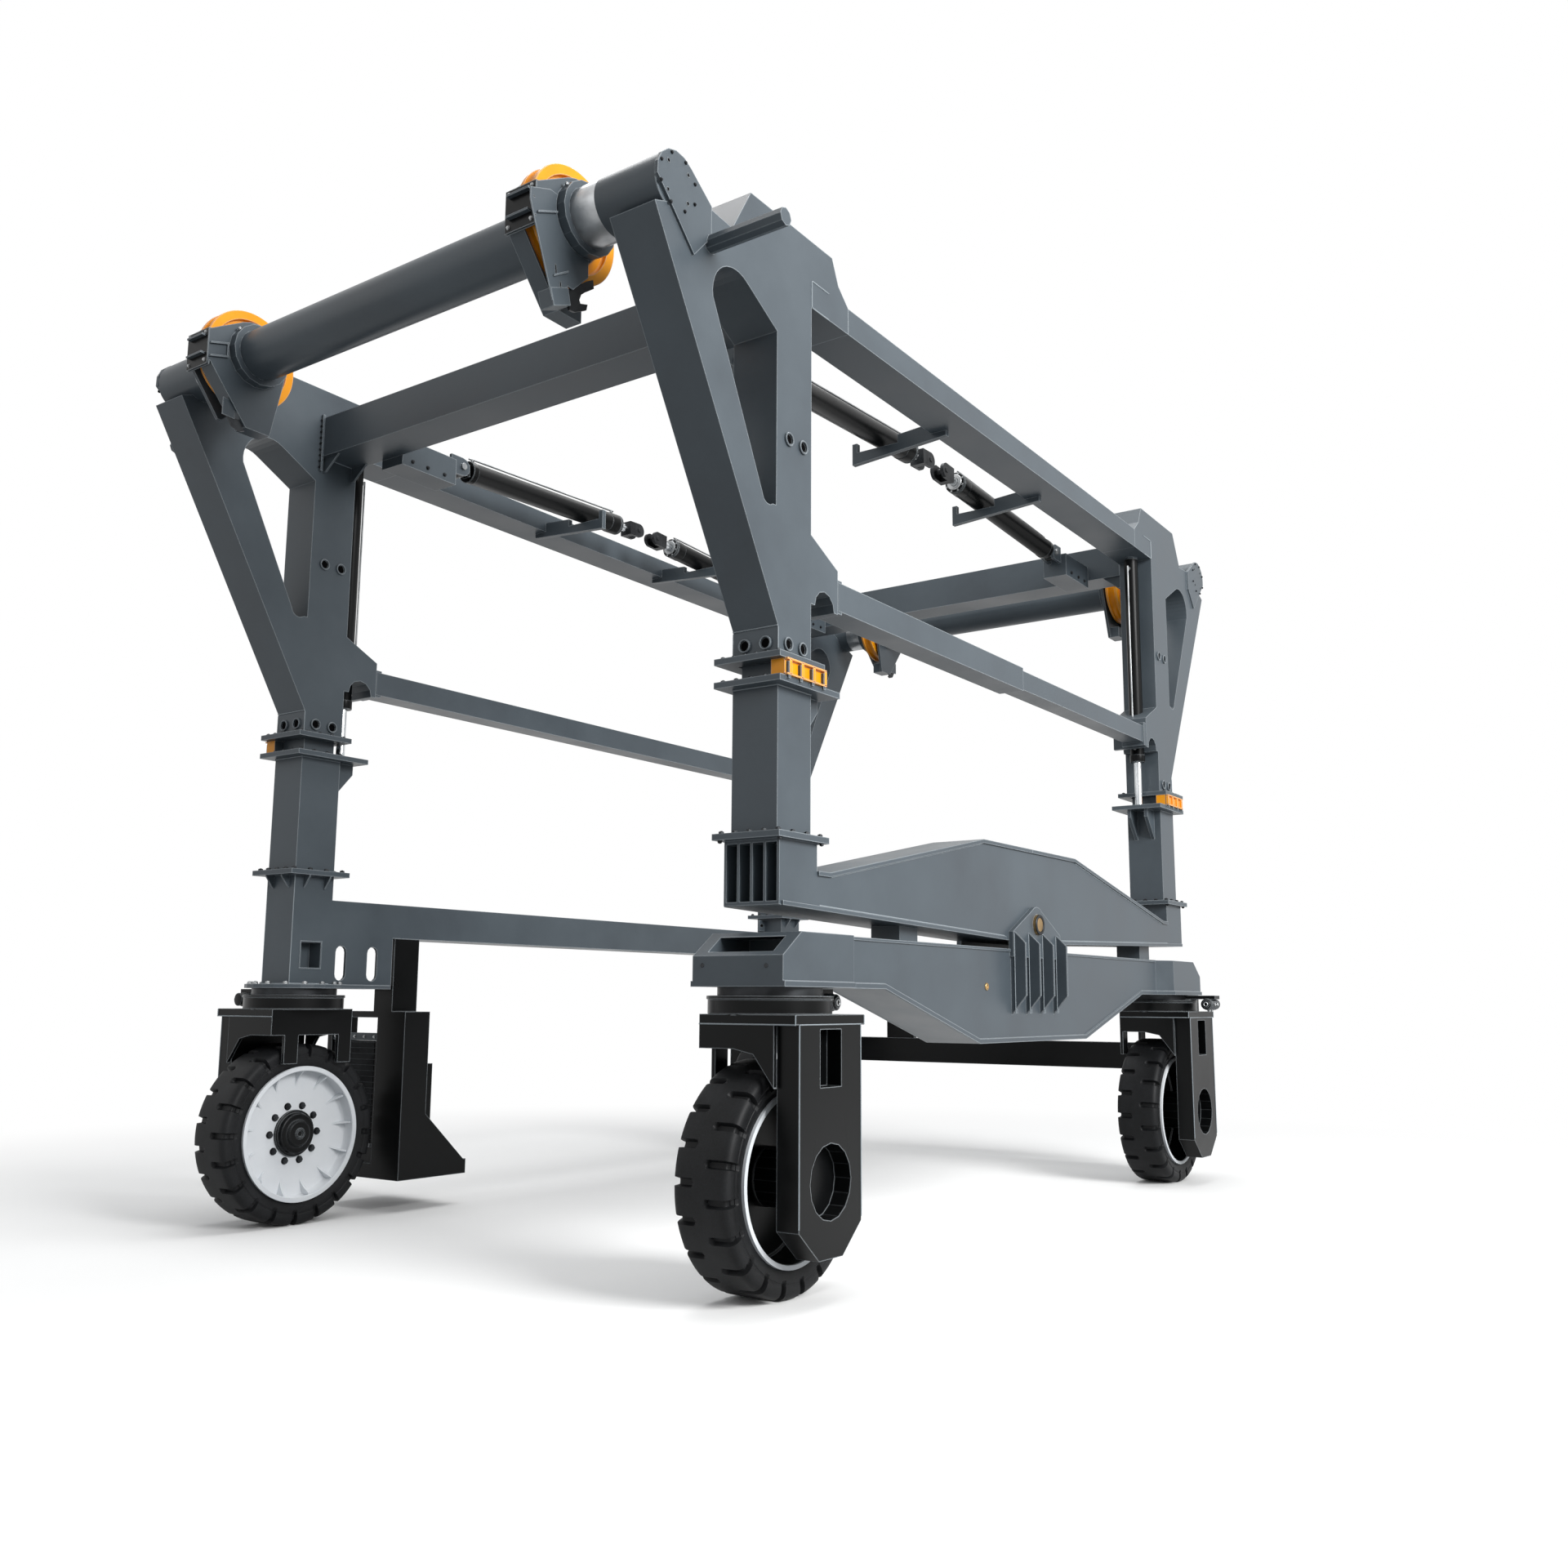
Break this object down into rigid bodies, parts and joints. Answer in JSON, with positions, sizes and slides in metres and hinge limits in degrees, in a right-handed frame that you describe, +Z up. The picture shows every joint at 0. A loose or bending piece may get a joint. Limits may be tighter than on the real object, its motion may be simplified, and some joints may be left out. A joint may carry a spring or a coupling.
{
  "type": "straddle carrier",
  "caption": "Straddle carrier: an open portal frame on steered wheels, with a telescoping upper frame and rope sheaves on cross tubes, for lifting and carrying long loads.",
  "frame": {"origin": "on the ground under the middle of the machine", "axes": "+X to the machine's right side, +Y to its rear, +Z up"},
  "size_m": [5.3, 8.806, 5.9139],
  "materials": {
    "steel_paint": "satin dark blue-grey paint",
    "black_paint": "satin black paint",
    "yellow_paint": "satin amber paint",
    "white_paint": "satin white paint",
    "tyre_rubber": "matt, dusty",
    "bronze": "turned, dull"
  },
  "bodies": {
    "base": {"rocker_beam": "steel_paint", "pivot_beam": "steel_paint", "rocker_pin": "bronze", "left_base": "steel_paint", "rear_low_beam": "black_paint", "pack_frame": "black_paint", "radiator": "black_paint", "engine_block": "steel_paint", "slew_ring_front_right": "black_paint", "slew_ring_front_left": "black_paint", "slew_ring_rear_right": "black_paint", "slew_ring_rear_left": "black_paint", "column_front_right": "steel_paint", "column_front_left": "steel_paint", "column_rear_right": "steel_paint", "column_rear_left": "steel_paint"},
    "upper_frame": {"leg_frame_front_right": "steel_paint", "leg_frame_front_left": "steel_paint", "leg_frame_rear_right": "steel_paint", "leg_frame_rear_left": "steel_paint", "crossbeam_front": "steel_paint", "crossbeam_rear": "steel_paint", "side_beam_right": "steel_paint", "side_beam_left": "steel_paint", "mid_beam_right": "steel_paint", "mid_beam_left": "steel_paint", "tube_front": "steel_paint", "tube_rear": "steel_paint", "carriage_front_right": "steel_paint", "carriage_front_left": "steel_paint", "carriage_rear_right": "steel_paint", "carriage_rear_left": "steel_paint", "hoist_cylinder_front_right": "black_paint", "hoist_cylinder_front_left": "black_paint", "hoist_cylinder_rear_right": "black_paint", "hoist_cylinder_rear_left": "black_paint"},
    "steering_front_right": {"fork_front_right": "black_paint"},
    "wheel_front_right": {"tyre_front_right": "tyre_rubber", "rim_front_right": "white_paint"},
    "steering_front_left": {"fork_front_left": "black_paint"},
    "wheel_front_left": {"tyre_front_left": "tyre_rubber", "rim_front_left": "white_paint"},
    "steering_rear_right": {"fork_rear_right": "black_paint"},
    "wheel_rear_right": {"tyre_rear_right": "tyre_rubber", "rim_rear_right": "white_paint"},
    "steering_rear_left": {"fork_rear_left": "black_paint"},
    "wheel_rear_left": {"tyre_rear_left": "tyre_rubber", "rim_rear_left": "white_paint"},
    "sheave_front_right": {"sheave_front_right": "yellow_paint"},
    "sheave_front_left": {"sheave_front_left": "yellow_paint"},
    "sheave_rear_right": {"sheave_rear_right": "yellow_paint"},
    "sheave_rear_left": {"sheave_rear_left": "yellow_paint"}
  },
  "joints": [
    {"name": "mast_lift", "type": "slide", "parent": "base", "child": "upper_frame", "axis": [0, 0, 1], "range_m": [0, 1.4]},
    {"name": "steer_front_right", "type": "hinge", "parent": "base", "child": "steering_front_right", "pos_m": [2.02, -2.94, 1.53], "axis": [0, 0, 1], "range_deg": [-90, 90]},
    {"name": "wheel_front_right_roll", "type": "hinge", "parent": "steering_front_right", "child": "wheel_front_right", "pos_m": [2.02, -2.94, 0.6], "axis": [1, 0, 0], "continuous": true},
    {"name": "steer_front_left", "type": "hinge", "parent": "base", "child": "steering_front_left", "pos_m": [-2.02, -2.94, 1.53], "axis": [0, 0, 1], "range_deg": [-90, 90]},
    {"name": "wheel_front_left_roll", "type": "hinge", "parent": "steering_front_left", "child": "wheel_front_left", "pos_m": [-2.02, -2.94, 0.6], "axis": [1, 0, 0], "continuous": true},
    {"name": "steer_rear_right", "type": "hinge", "parent": "base", "child": "steering_rear_right", "pos_m": [2.02, 2.94, 1.53], "axis": [0, 0, 1], "range_deg": [-90, 90]},
    {"name": "wheel_rear_right_roll", "type": "hinge", "parent": "steering_rear_right", "child": "wheel_rear_right", "pos_m": [2.02, 2.94, 0.6], "axis": [1, 0, 0], "continuous": true},
    {"name": "steer_rear_left", "type": "hinge", "parent": "base", "child": "steering_rear_left", "pos_m": [-2.02, 2.94, 1.53], "axis": [0, 0, 1], "range_deg": [-90, 90]},
    {"name": "wheel_rear_left_roll", "type": "hinge", "parent": "steering_rear_left", "child": "wheel_rear_left", "pos_m": [-2.02, 2.94, 0.6], "axis": [1, 0, 0], "continuous": true},
    {"name": "sheave_front_right_turn", "type": "hinge", "parent": "upper_frame", "child": "sheave_front_right", "pos_m": [1.42, -4.03, 5.6], "axis": [1, 0, 0], "continuous": true},
    {"name": "sheave_front_left_turn", "type": "hinge", "parent": "upper_frame", "child": "sheave_front_left", "pos_m": [-1.42, -4.03, 5.6], "axis": [1, 0, 0], "continuous": true},
    {"name": "sheave_rear_right_turn", "type": "hinge", "parent": "upper_frame", "child": "sheave_rear_right", "pos_m": [1.42, 4.03, 5.6], "axis": [1, 0, 0], "continuous": true},
    {"name": "sheave_rear_left_turn", "type": "hinge", "parent": "upper_frame", "child": "sheave_rear_left", "pos_m": [-1.42, 4.03, 5.6], "axis": [1, 0, 0], "continuous": true}
  ]
}
